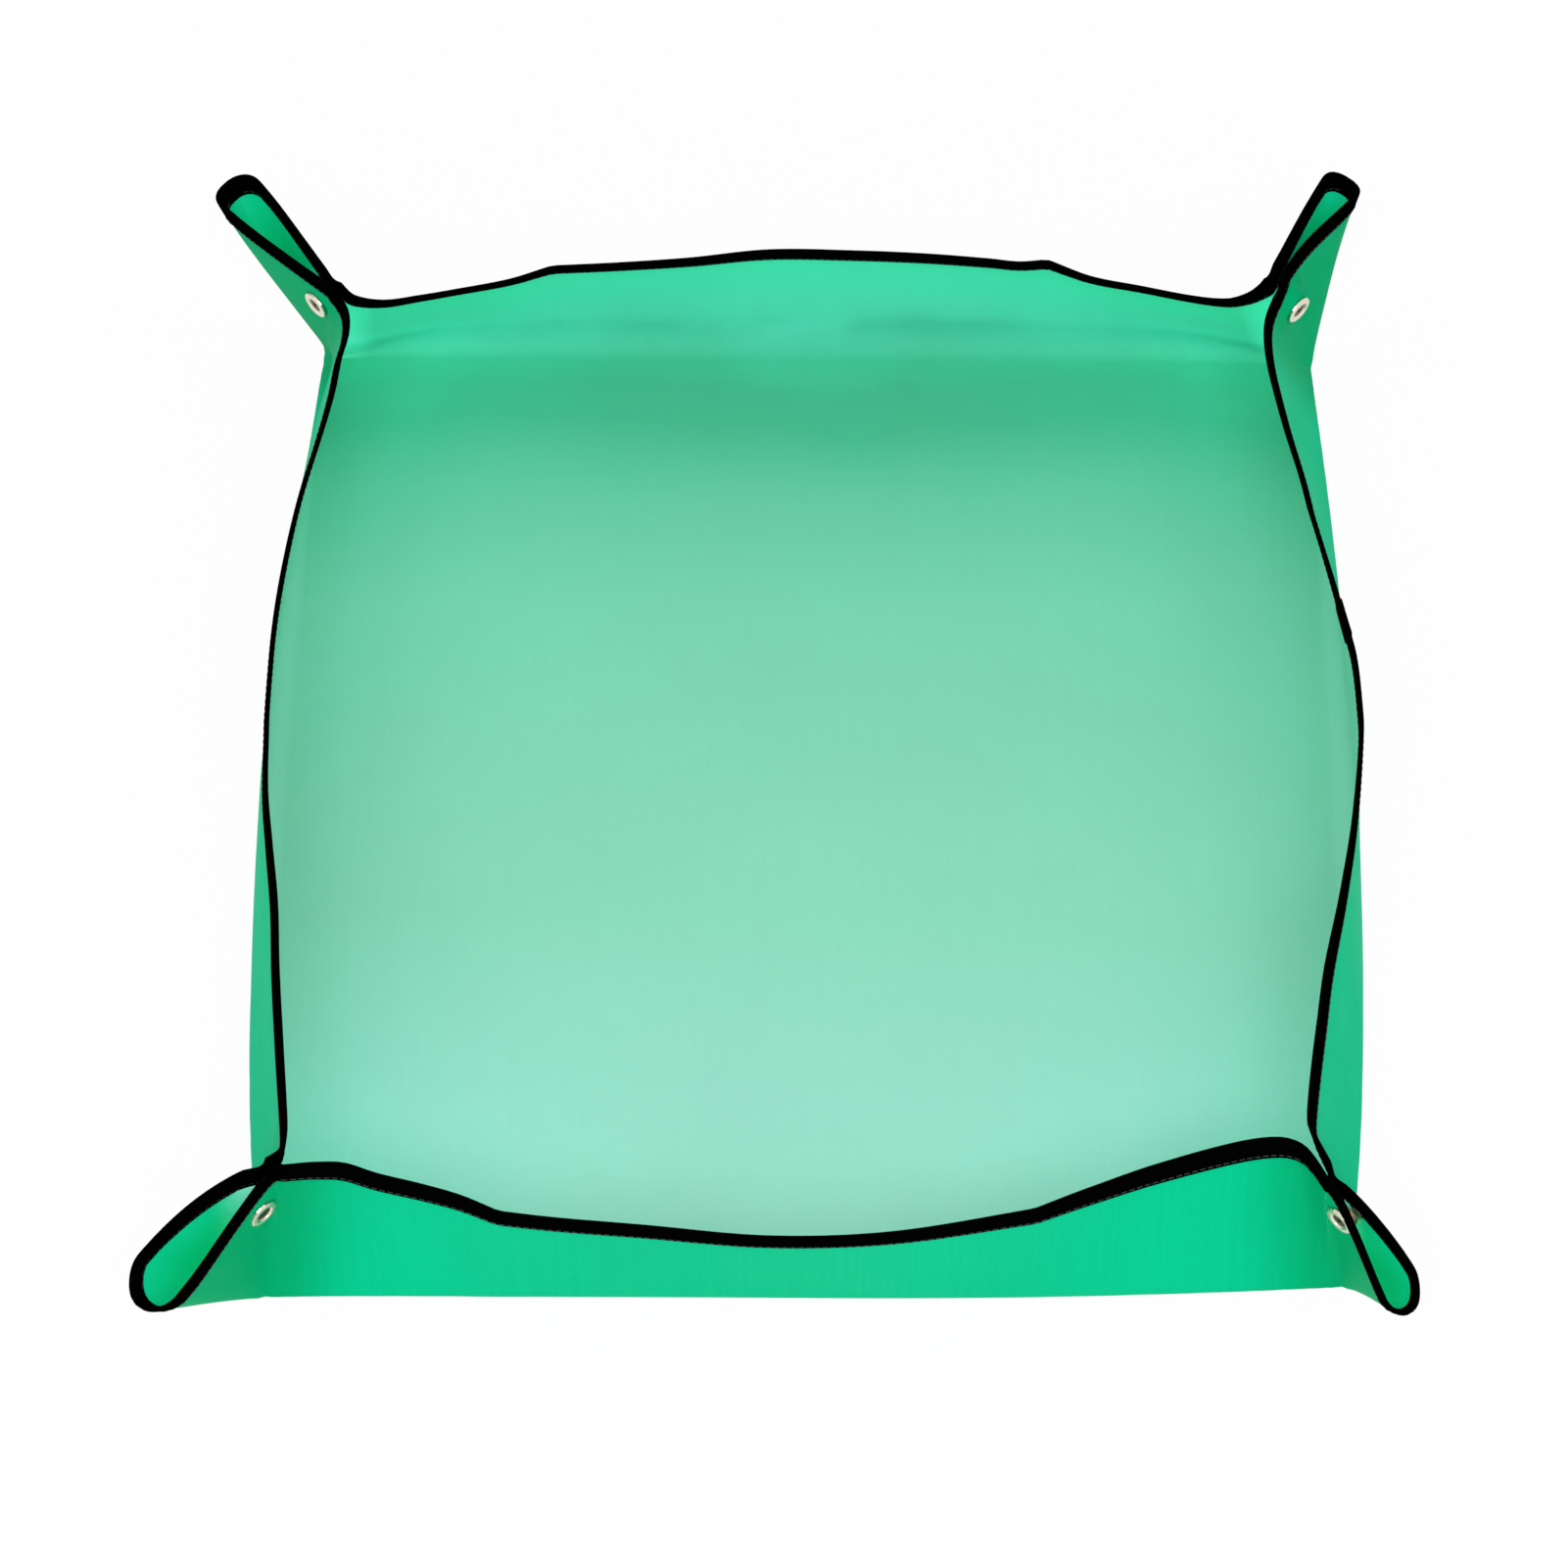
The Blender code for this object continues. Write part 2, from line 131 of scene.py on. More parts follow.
# the bend of each wall off the floor: at its start, middle and end, and the power by which its ends fade
BEND = {
    "front": (16.0, 16.0, 16.0, 4),
    "right": (22.0, 22.0, 18.0, 4),
    "back": (24.0, 24.0, 24.0, 8),
    "left": (14.0, 22.0, 20.0, 4),
}
LEAST_BEND = 0.3             # a shorter bend is a sharp fold

# how far the sheet's foot has crept outward: at each corner in plan, and at the middle of each wall
CORNER_CREEP = {
    "front_left": Vector((0.5, -13.0)),
    "front_right": Vector((3.5, -4.5)),
    "back_right": Vector((11.0, 2.0)),
    "back_left": Vector((6.5, 3.0)),
}
WALL_CREEP = {"front": 5.0, "right": 7.5, "back": 3.0, "left": 3.0}
WALL_ENDS = {
    "front": ("front_left", "front_right"),
    "right": ("front_right", "back_right"),
    "back": ("back_right", "back_left"),
    "left": ("back_left", "front_left"),
}
CREEP_FADE = 3               # the power by which a corner's creep fades up its corner line
INWARD_RISE = 12.0           # the height by which a corner line has crept inward in full
KEEL_ALLOWANCE = 2.5         # fabric beyond the keel line, taken up by the fold of an ear
KEEL_REACH = 12.0
# an ear's edge laps onto its wall: distance from the corner line, lift, share of the thickness
CORNER_LAP = ((5.5, 0.0, 0.3), (3.6, 0.05, 0.9), (1.8, 0.08, 1.0))
TAPE_LAP = ((9.0, 0.65), (6.0, 0.82), (3.0, 0.95))
LEAF_FADE = 32.0             # over which the face turns from pale, with its painted sheen and light, to deep, inside an ear
# the fold beside a corner line: how wide it turns on the wall and on the ear, and its share of the half turn
FOLD = (8.0, 6.0, 1.0)
FOLD_RISE = 12.0             # the height by which that fold turns in full
FOLDS = {("back_right", 0): (2.0, 2.0, 0.5), ("back_right", 1): (8.0, 6.0, 0.55)}
SNAP_FOLD_WIDTH = 2.5        # on an ear beside its snap

# where a half's crossing of the rims stands off the corner line: offset in plan, its reach on the wall and
# on the ear, and its power up the line
CROSSINGS = {
    ("front_left", 0): (Vector((-1.8, 3.2, 0)), 14.0, 14.0, 3),
    ("front_left", 1): (Vector((-2.6, 2.7, 0)), 14.0, 14.0, 3),
    ("front_right", 0): (Vector((0.1, 0.0, 0)), 14.0, 14.0, 3),
    ("front_right", 1): (Vector((1.1, 0.5, 0)), 14.0, 14.0, 3),
    ("back_right", 0): (Vector((-4.9, 8.2, 0)), 10.5, 30.0, 4),
    ("back_right", 1): (Vector((-3.6, 1.5, 0)), 22.0, 22.0, 3),
    ("back_left", 0): (Vector((1.4, 1.3, 0)), 14.0, 14.0, 3),
    ("back_left", 1): (Vector((0.6, 2.5, 0)), 14.0, 14.0, 3),
}
WALL_HALVES = {(wall, end): (corner, half) for corner, halves in CORNERS.items()
               for half, (wall, end) in enumerate(halves)}

# each ear: tip reach, sideways turn, its power, then (swell, tip swell) of the post half and the cap half
EARS = {
    "front_left": (95.5, -2.5, 1.30, (1.0, 14.4), (11.1, 10.8)),
    "front_right": (64.0, 4.3, 1.32, (5.0, 8.1), (1.0, 12.1)),
    "back_right": (100.7, 27.5, 1.00, (6.7, 10.2), (-4.3, 10.0)),
    "back_left": (109.6, 9.4, 1.33, (2.3, 15.0), (4.5, 7.9)),
}
SWELL_POWER = 0.75
SWELL_LOW_SHARE = 0.4        # of an ear's swell, far below its rim
SWELL_REACH = 60.0           # how far below the rim that is
KEEL_ROUND = 3.0             # width over which an ear rounds into its keel, at its root
KEEL_ROUND_GROWTH = 13.0     # what that width gains by the tip
TINY = 1e-6


# surfaces
def smooth(value):
    """0 below 0, 1 above 1, and an S-shaped rise between."""
    value = min(max(value, 0.0), 1.0)
    return value * value * (3 - 2 * value)


def runs_of(stations, kinks):
    """The stations, cut into runs at the kinks."""
    runs = [[]]
    for station in stations:
        runs[-1].append(station)
        if station[0] in kinks:
            runs.append([station])
    return runs


def curve_value(run, share):
    """A smooth curve through the stations of one run."""
    last = len(run) - 1
    i = 0
    while i < last - 1 and share > run[i + 1][0]:
        i += 1
    (x0, y0), (x1, y1) = run[i], run[i + 1]

    def slope(k):
        a, b = max(k - 1, 0), min(k + 1, last)
        return (run[b][1] - run[a][1]) / (run[b][0] - run[a][0])

    t = (share - x0) / (x1 - x0)
    width = x1 - x0
    return ((2 * t ** 3 - 3 * t ** 2 + 1) * y0 + (t ** 3 - 2 * t ** 2 + t) * width * slope(i)
            + (3 * t ** 2 - 2 * t ** 3) * y1 + (t ** 3 - t ** 2) * width * slope(i + 1))


RUNS = {name: runs_of(LEAN[name], KINKS[name]) for name in WALLS}


def lean_at(wall, share):
    """A wall's outward lean, in radians, at a share of its half length."""
    for run in RUNS[wall]:
        if share <= run[-1][0] + TINY:
            return math.radians(curve_value(run, share))
    return CORNER_LEAN


def wall_section(height, lean, bend, curl=0.0):
    """Outward reach and level at a height: an arc off the floor, a straight, then a curled lip."""
    turn = math.pi / 2 - lean
    curled = height - (WALL_HEIGHT - CURL_HEIGHT)
    if curl > 0 and curled > 0:
        reach, level = wall_section(WALL_HEIGHT - CURL_HEIGHT, lean, bend)
        radius, angle = CURL_HEIGHT / curl, curl * curled / CURL_HEIGHT
        return (reach + radius * (math.sin(turn + angle) - math.sin(turn)),
                level + radius * (math.cos(turn) - math.cos(turn + angle)))
    if bend < LEAST_BEND:
        return height * math.cos(turn), height * math.sin(turn)
    radius = bend / turn
    if height < bend:
        angle = height / radius
        return radius * math.sin(angle), radius * (1 - math.cos(angle))
    rest = height - bend
    return (radius * math.sin(turn) + rest * math.cos(turn),
            radius * (1 - math.cos(turn)) + rest * math.sin(turn))


def corner_creep(corner, height, off=0.0):
    """How far a corner line has crept in plan, but not inward at its foot, so that the fold stays shut."""
    crept = CORNER_CREEP[corner] * max(1 - height / WALL_HEIGHT, 0) ** CREEP_FADE
    inward = smooth((height + off) / INWARD_RISE)
    if crept.x * (1 if "right" in corner else -1) < 0:
        crept.x *= inward
    if crept.y * (1 if "back" in corner else -1) < 0:
        crept.y *= inward
    return crept


def creep(wall, share, height=0.0):
    """How far a wall stands along and outward of its place over the floor panel's own square."""
    along, out = WALLS[wall]
    corner = corner_creep(WALL_ENDS[wall][0 if share < 0 else 1], height)
    grow = min(abs(share), 1) ** 2
    sideways = corner.dot(along.xy) * grow
    outward = corner.dot(out.xy) * grow + WALL_CREEP[wall] * (1 - grow) * max(1 - height / WALL_HEIGHT, 0)
    return sideways, outward


def free_at(length, width):
    """0 on the flat pad around a snap, 1 away from it."""
    return smooth((math.hypot(length - SNAP[0], width - SNAP[1]) - SNAP_CLEAR) / SNAP_EASE)


def crossing_offset(corner_half, length, off, on_wall):
    """The offset of a point near the top of a corner line, at a distance from that line."""
    offset, wall_reach, ear_reach, power = CROSSINGS[corner_half]
    climb = max(length, 0) / CORNER_LINE
    return offset * climb ** power * math.exp(-max(off, 0) / (wall_reach if on_wall else ear_reach))


def half_length(height):
    """Half the length of a wall, at a height along its fabric."""
    return FLOOR_HALF - CORNER_SHIFT - CORNER_INSET * height / WALL_HEIGHT


def wall_point(wall, share, height):
    """A point of a wall's mid-surface, at a share of its half length and a height along its fabric."""
    along, out = WALLS[wall]
    lean = lean_at(wall, share)
    at_start, middle, at_end, power = BEND[wall]
    bend = (middle + ((at_end if share > 0 else at_start) - middle) * abs(share)) * (1 - abs(share) ** power)
    reach, level = wall_section(height, lean, bend, CURL.get(wall, 0.0) * (1 - share ** CURL_FADE))
    half = half_length(height)
    off = half * (1 - abs(share))
    corner_half = WALL_HALVES[wall, 1 if share > 0 else -1]
    fold_width, _, turned = FOLDS.get(corner_half, FOLD)
    reach -= HALF_TURN * turned * off * math.exp(-off / fold_width) * smooth(height / FOLD_RISE)
    sideways, outward = creep(wall, share, height)
    length = CORNER_LINE * height / WALL_HEIGHT
    point = (out * (FLOOR_HALF + reach + outward) + along * (half * share + sideways)
             + UP * (level + SHEET_LEVEL))
    return point + crossing_offset(corner_half, length, off, True) * free_at(length, -off)


TOP = Vector((CORNER_LINE, 0))


def keel_turned(angle):
    """The direction of the keel in a half ear's flat shape, turned towards the corner line."""
    return Vector((math.cos(KEEL_ANGLE - angle), math.sin(KEEL_ANGLE - angle)))


RIM_CENTRE = keel_turned(0) * (WALL_HEIGHT - RIM_RADIUS) * math.sqrt(2)
SNAP = Vector((CORNER_LINE - SNAP_DROP - SNAP_OUT * CORNER_INSET / WALL_HEIGHT, SNAP_OUT))


def rim_flat(place, depth):
    """A point of a half ear's flat shape, by depth from its rim. Place 0 to 1 is straight, 1 to 2 the arc."""
    start = TOP * (1 - depth / WALL_HEIGHT)
    inward = keel_turned(math.pi / 4)
    foot = RIM_CENTRE + inward * (RIM_RADIUS - depth)
    if place <= 1:
        return start + (foot - start) * place
    return RIM_CENTRE + keel_turned(math.pi / 4 * (2 - place)) * (RIM_RADIUS - depth)


def ear_frame(wall, end):
    """A half ear as it stands: directions up and across the corner line and off it, its foot, and outward."""
    along, out = WALLS[wall]
    outward = (along * end + out) / math.sqrt(2)
    root = CORNER_INSET * math.sqrt(2)
    rise = (UP * CORNER_RISE - outward * root) / CORNER_LINE
    across = (outward * CORNER_RISE + UP * root) / CORNER_LINE
    side = (out - along * end) / math.sqrt(2)
    foot = out * FLOOR_HALF + UP * SHEET_LEVEL + along * half_length(0) * end - side * LAYER_GAP / 2
    return rise, across, side, foot, outward


def ear_point(corner, half, flat):
    """A point of a half ear's mid-surface, from its flat place: up the corner line and across it."""
    wall, end = CORNERS[corner][half]
    rise, across, side, foot, outward = ear_frame(wall, end)
    tip_reach, turn, power, *swells = EARS[corner]
    swell, tip_swell = swells[half]
    length, width = flat
    beta = width / math.sin(KEEL_ANGLE)
    alpha = length - beta * math.cos(KEEL_ANGLE)
    shrink = tip_reach / TIP_REACH
    place = (alpha + beta * shrink * math.cos(KEEL_ANGLE), beta * shrink * math.sin(KEEL_ANGLE))
    keel = abs(length * math.sin(KEEL_ANGLE) - width * math.cos(KEEL_ANGLE))
    up_keel = length * math.cos(KEEL_ANGLE) + width * math.sin(KEEL_ANGLE)
    extra = min(KEEL_ALLOWANCE, up_keel * KEEL_SLOPE) * max(1 - keel / KEEL_REACH, 0) ** 2
    place = (place[0] - extra * math.sin(KEEL_ANGLE), place[1] + extra * math.cos(KEEL_ANGLE))
    share = max(width, 0) / TIP_ACROSS
    free = free_at(length, width)
    round_width = min(KEEL_ROUND + KEEL_ROUND_GROWTH * share, keel + max(width, 0) + TINY)
    rounding = math.sqrt(1 - (1 - min(keel / round_width, 1)) ** 2)
    rim = max(CORNER_LINE - width * CORNER_INSET / WALL_HEIGHT - length, 0)
    high = 1 - min(rim / SWELL_REACH, 1)
    gap = LAYER_GAP / 2
    bulge = (swell - gap) * math.sin(math.pi * min(share ** SWELL_POWER, 1))
    bulge *= SWELL_LOW_SHARE + (1 - SWELL_LOW_SHARE) * high
    bulge += (tip_swell - gap) * smooth(share)
    eased = smooth(width / EAR_EASE) * free
    apart = gap + bulge * eased
    _, fold_width, turned = FOLDS.get((corner, half), FOLD)
    fold_width = SNAP_FOLD_WIDTH + (fold_width - SNAP_FOLD_WIDTH) * free
    folded = max(width, 0) * math.exp(-max(width, 0) / fold_width)
    apart -= HALF_TURN * turned * folded * smooth(length / FOLD_RISE)
    leaning = Vector((-math.copysign(1, outward.x), math.copysign(1, outward.y), 0))
    sideways = turn * share ** power * free * math.copysign(1, side.dot(leaning))
    crept = corner_creep(corner, WALL_HEIGHT * alpha / CORNER_LINE, beta).to_3d()
    shut = smooth(beta / KEEL_REACH) * (1 - smooth(keel / KEEL_REACH))
    crept -= outward * min(crept.dot(outward), 0) * shut
    foot = foot + crept * max(1 - beta / TIP_REACH, 0)
    foot = foot + crossing_offset((corner, half), length, width, False) * free
    return foot + rise * place[0] + across * place[1] + side * (apart * rounding + sideways)


# mesh helpers
LEAST_THICKNESS_SHARE = 0.05
SHARP_EDGE = math.radians(50)


def grid(name, points, flats, material, thickness, weights=None, creases=None, second=None, columns=None):
    """A mid-surface mesh from rows of points. Weights by row and columns are shares of its thickness."""
    verts, uvs, faces, factors = [], [], [], []
    rows, cols = len(points), len(points[0])
    for r in range(rows):
        for c in range(cols):
            verts.append(points[r][c] * MM)
            uvs.append(flats[r][c])
            factors.append((weights[r] if weights else 1.0) * (columns[c] if columns else 1.0))
    for r in range(rows - 1):
        for c in range(cols - 1):
            corner = r * cols + c
            faces.append((corner, corner + 1, corner + 1 + cols, corner + cols))
    piece = mesh_piece(name, verts, uvs, faces, material, thickness, factors if weights or columns else None)
    if creases:
        attribute = piece.data.attributes.new("crease", "FLOAT", "POINT")
        attribute.data.foreach_set("value", [v for row in creases for v in row])
    if second:
        piece.data.materials.append(second)
        piece.modifiers["thickness"].material_offset = 1
        piece.modifiers["thickness"].material_offset_rim = 1
    return piece


def mesh_piece(name, verts, uvs, faces, material, thickness, factors=None):
    """A mesh given a thickness by modifiers, with its flat coordinates in metres as an attribute."""
    mesh = bpy.data.meshes.new(name)
    mesh.from_pydata([tuple(v) for v in verts], [], faces)
    attribute = mesh.attributes.new("flat", "FLOAT_VECTOR", "POINT")
    for item, uv in zip(attribute.data, uvs):
        item.vector = (*uv, 0.0)[:3]
    mesh.polygons.foreach_set("use_smooth", [True] * len(mesh.polygons))
    mesh.materials.append(material)
    mesh.update()
    piece = bpy.data.objects.new(name, mesh)
    bpy.context.scene.collection.objects.link(piece)
    solid = piece.modifiers.new("thickness", "SOLIDIFY")
    solid.thickness = thickness * MM
    solid.offset = 0
    solid.use_even_offset = False
    if factors:
        group = piece.vertex_groups.new(name="thickness")
        for i, factor in enumerate(factors):
            group.add([i], factor, "REPLACE")
        solid.vertex_group = "thickness"
        solid.thickness_vertex_group = LEAST_THICKNESS_SHARE
    split = piece.modifiers.new("edges", "EDGE_SPLIT")
    split.split_angle = SHARP_EDGE
    return piece


# materials, their scales to a metre of flat fabric
CLOUD_SCALE = 7.0
CLOUD_WANDER = 0.05          # the span by which face tones stray from their place, in metres
SHEET_HALF = 0.34            # of the whole flat sheet, in metres
STREAK_STRETCH = (420.0, 9.0, 9.0)
GLOSS_SCALE = 30.0
CRINKLE_SCALE = 38.0
WEAVE_PITCH = 0.0009
TAPE_RIB_PITCH = 0.0008
THREAD_TWIST_PITCH = 0.0004


def new_material(name):
    """A new material, with its nodes, its links and its one shader."""
    material = bpy.data.materials.new(name)
    material.use_nodes = True
    nodes, links = material.node_tree.nodes, material.node_tree.links
    return material, nodes, links, nodes["Principled BSDF"]


def add(nodes, kind, **values):
    """A new node. A value whose name starts with in_ is for the socket of that name."""
    node = nodes.new(kind)
    for key, value in values.items():
        if key.startswith("in_"):
            node.inputs[key[3:]].default_value = value
        else:
            setattr(node, key, value)
    return node


def feed(links, socket, value):
    """Give a socket its value, which is another node's output or a constant."""
    if isinstance(value, bpy.types.NodeSocket):
        links.new(value, socket)
    else:
        socket.default_value = value


def mixed(nodes, links, factor, first, second, blend="MIX"):
    """Two colours mixed. Sockets 0, 6 and 7 are the factor and the colours, and output 2 is the colour."""
    node = add(nodes, "ShaderNodeMix", data_type="RGBA", blend_type=blend)
    feed(links, node.inputs[0], factor)
    feed(links, node.inputs[6], first)
    feed(links, node.inputs[7], second)
    return node.outputs[2]


def ramp(nodes, links, source, stops):
    """A colour for each value of the source, from stops of (value, colour)."""
    node = nodes.new("ShaderNodeValToRGB")
    links.new(source, node.inputs[0])
    while len(node.color_ramp.elements) < len(stops):
        node.color_ramp.elements.new(0.5)
    for element, (place, colour) in zip(node.color_ramp.elements, stops):
        element.position = place
        element.color = (*colour, 1)
    return node.outputs[0]


def greys(stops):
    """Stops of grey, from stops of (value, level)."""
    return [(place, (value, value, value)) for place, value in stops]


def flat_coordinates(nodes):
    """The place on the flat sheet, in metres, that each mesh keeps as an attribute."""
    return add(nodes, "ShaderNodeAttribute", attribute_name="flat").outputs["Vector"]


def noise(nodes, links, vector, scale, detail=3.0, roughness=0.55):
    node = add(nodes, "ShaderNodeTexNoise", in_Scale=scale, in_Detail=detail, in_Roughness=roughness)
    links.new(vector, node.inputs["Vector"])
    return node.outputs["Fac"]


def math_node(nodes, links, operation, first, second=None):
    """The number that an operation on outputs or constants gives."""
    node = add(nodes, "ShaderNodeMath", operation=operation)
    feed(links, node.inputs[0], first)
    if second is not None:
        feed(links, node.inputs[1], second)
    return node.outputs[0]


def vector_node(nodes, links, operation, first, second=None):
    """The vector, or the length, that a vector operation gives."""
    node = add(nodes, "ShaderNodeVectorMath", operation=operation)
    links.new(first, node.inputs[0])
    if second:
        node.inputs[1].default_value = second
    return node.outputs["Value" if operation == "LENGTH" else 0]


def bands(nodes, links, vector, direction, pitch):
    """Height of parallel ridges with a pitch in metres."""
    scale = math.pi / 10 / pitch
    node = add(nodes, "ShaderNodeTexWave", wave_type="BANDS", bands_direction=direction, in_Scale=scale)
    links.new(vector, node.inputs["Vector"])
    return node.outputs["Fac"]


def bumped(nodes, links, height, strength, distance, normal=None):
    """A normal bumped by a height, over another one."""
    node = add(nodes, "ShaderNodeBump", in_Strength=strength, in_Distance=distance)
    links.new(height, node.inputs["Height"])
    if normal:
        links.new(normal, node.inputs["Normal"])
    return node.outputs[0]


def weave(nodes, links, vector, pitch):
    """Height of a plain weave whose threads run along both flat axes."""
    heights = [bands(nodes, links, vector, direction, pitch) for direction in ("X", "Y")]
    return math_node(nodes, links, "ADD", *heights)


def face_tone_with_painted_light(nodes, links, flat, cloudy, shader):
    """The face's tone by its place on the flat sheet, with painted sheen and shade in it and painted light
    near the side walls, and a painted glow inside an ear and beside a corner line.
    """
    split = nodes.new("ShaderNodeSeparateXYZ")
    links.new(flat, split.inputs[0])
    wander = math_node(nodes, links, "SUBTRACT", cloudy, 0.5)
    wander = math_node(nodes, links, "MULTIPLY", wander, CLOUD_WANDER)
    place = math_node(nodes, links, "ADD", split.outputs["Y"], wander)
    place = math_node(nodes, links, "ADD", place, SHEET_HALF)
    place = math_node(nodes, links, "DIVIDE", place, 2 * SHEET_HALF)
    # the face's tone by its place: a painted sheen pales the floor toward the front, and painted shade
    # darkens it before the fold to the back wall
    base = ramp(nodes, links, place, FACE_SHEEN_AND_SHADE_TONES)
    # painted light near the side walls, strongest in the back corners, in place of the light that the walls
    # shade off
    side_light = math_node(nodes, links, "ABSOLUTE", split.outputs["X"])
    side_light = math_node(nodes, links, "DIVIDE", side_light, FLOOR_HALF * MM)
    side_light = ramp(nodes, links, side_light, greys(SIDE_PAINTED_LIGHT_SHARES))
    side_light = math_node(nodes, links, "MULTIPLY", side_light, ramp(nodes, links, place, greys(DEPTH_PAINTED_LIGHT_SHARES)))
    base = mixed(nodes, links, side_light, base, SIDE_PAINTED_LIGHT, "MULTIPLY")
    crease = add(nodes, "ShaderNodeAttribute", attribute_name="crease").outputs["Fac"]
    leaf = math_node(nodes, links, "SUBTRACT", crease, 1.0)
    leaf = math_node(nodes, links, "MAXIMUM", leaf, 0.0)
    base = mixed(nodes, links, leaf, base, LEAF_TONE)
    # a painted glow: emission of the face's own tone inside an ear and beside a corner line, standing in for
    # light that the ear shades off
    glow = ramp(nodes, links, math_node(nodes, links, "DIVIDE", crease, 2.0), greys(POCKET_GLOW_SHARES))
    links.new(mixed(nodes, links, glow, (0, 0, 0, 1), base), shader.inputs["Emission Color"])
    shader.inputs["Emission Strength"].default_value = POCKET_GLOW_STRENGTH
    return base


def coated_fabric(name, face):
    """The coated cloth. Its face, inside the tray, is paler where it lies flat, which is a painted sheen, and
    holds painted shade, painted light and a painted glow; its back is deeper, with painted shade beside the
    corner lines and on the ears.
    """
    material, nodes, links, shader = new_material(name)
    flat = flat_coordinates(nodes)
    cloudy = noise(nodes, links, flat, CLOUD_SCALE)
    if face:
        base = face_tone_with_painted_light(nodes, links, flat, cloudy, shader)
    else:
        # painted shade: the outside deepens beside a corner line and over the whole outside of an ear
        crease = add(nodes, "ShaderNodeAttribute", attribute_name="crease").outputs["Fac"]
        crease = math_node(nodes, links, "MINIMUM", crease, 1.0)
        base = mixed(nodes, links, crease, BACK_TONE, VALLEY_SHADE_TONE)
    clouds = ramp(nodes, links, cloudy, greys(CLOUD_TONES))
    base = mixed(nodes, links, CLOUD_SHARE, base, clouds, "MULTIPLY")
    streaks = noise(nodes, links, vector_node(nodes, links, "MULTIPLY", flat, STREAK_STRETCH), 1.0, 2.0)
    streaked = ramp(nodes, links, streaks, greys(STREAK_TONES))
    base = mixed(nodes, links, FACE_STREAK_SHARE if face else BACK_STREAK_SHARE, base, streaked, "MULTIPLY")
    links.new(base, shader.inputs["Base Color"])
    gloss = ramp(nodes, links, noise(nodes, links, flat, GLOSS_SCALE, 5.0), greys(CLOTH_ROUGHNESS))
    links.new(gloss, shader.inputs["Roughness"])
    shader.inputs["Specular IOR Level"].default_value = FACE_SPECULAR if face else BACK_SPECULAR
    threads = weave(nodes, links, flat, WEAVE_PITCH)
    crinkle = noise(nodes, links, flat, CRINKLE_SCALE, 5.0, 0.6)
    fine = bumped(nodes, links, threads, 0.18, 0.00012)
    links.new(bumped(nodes, links, crinkle, 0.1, 0.002, fine), shader.inputs["Normal"])
    return material


# tones of the face at shares of the whole sheet, from its front rim to its back rim, with painted light and
# shade in them: a painted sheen that pales the floor toward its front, painted shade in a band before the
# fold to the back wall, and the back wall's face painted lighter toward its rim
FACE_SHEEN_AND_SHADE_TONES = [
    (0.0, (0.30, 0.74, 0.58)),
    (0.17, (0.355, 0.80, 0.64)),
    (0.26, (0.335, 0.775, 0.62)),
    (0.40, (0.26, 0.70, 0.515)),
    (0.54, (0.22, 0.67, 0.475)),
    (0.66, (0.19, 0.645, 0.445)),
    (0.75, (0.13, 0.585, 0.375)),
    (0.81, (0.066, 0.48, 0.28)),
    (0.842, (0.063, 0.476, 0.282)),
    (0.852, (0.064, 0.51, 0.31)),
    (0.868, (0.065, 0.548, 0.335)),
    (0.884, (0.064, 0.565, 0.365)),
    (0.889, (0.066, 0.59, 0.386)),
    (0.894, (0.074, 0.61, 0.405)),
    (0.90, (0.092, 0.68, 0.475)),
    (0.912, (0.107, 0.78, 0.55)),
    (0.93, (0.102, 0.82, 0.565)),
    (0.96, (0.082, 0.86, 0.56)),
    (1.0, (0.064, 0.89, 0.52)),
]
# painted light near the side walls, in place of the light that they shade off the face: the gain of each
# channel, and how much of it a place has, by its distance from the middle line, and from front to back
SIDE_PAINTED_LIGHT = (1.12, 1.3, 1.37, 1)
SIDE_PAINTED_LIGHT_SHARES = [(0.2, 0.0), (0.4, 0.12), (0.6, 0.5), (0.8, 1.0), (1.0, 1.0)]
DEPTH_PAINTED_LIGHT_SHARES = [(0.0, 0.7), (0.17, 0.7), (0.27, 0.3), (0.40, 0.12), (0.55, 0.1), (0.65, 0.22), (0.74, 0.4),
               (0.79, 0.7), (0.83, 0.95), (0.868, 0.85), (0.885, 0.95), (0.895, 1.1), (0.905, 0.95),
               (0.915, 0.6), (0.93, 0.3), (1.0, 0.1)]
# tones of the outside, away from a corner line and beside it, where the deeper tone is painted shade that
# also covers the whole outside of an ear, and of the face inside an ear
BACK_TONE = (0.001, 0.56, 0.27, 1)
VALLEY_SHADE_TONE = (0.0, 0.40, 0.155, 1)
LEAF_TONE = (0.004, 0.76, 0.40, 1)
# painted glow of the face inside an ear and beside a corner line, which stands in for light that the ear
# shades off, by half the crease value
POCKET_GLOW_SHARES = [(0.3, 0.0), (0.52, 1.0), (0.7, 0.8), (1.0, 0.3)]
POCKET_GLOW_STRENGTH = 0.28
# stops of a noise's value and a grey
CLOUD_TONES = [(0.3, 0.95), (0.7, 1.05)]
CLOUD_SHARE = 0.6
STREAK_TONES = [(0.3, 0.93), (0.7, 1.05)]
FACE_STREAK_SHARE = 0.12
BACK_STREAK_SHARE = 0.4
CLOTH_ROUGHNESS = [(0.3, 0.52), (0.7, 0.6)]
FACE_SPECULAR = 0.15
BACK_SPECULAR = 0.02


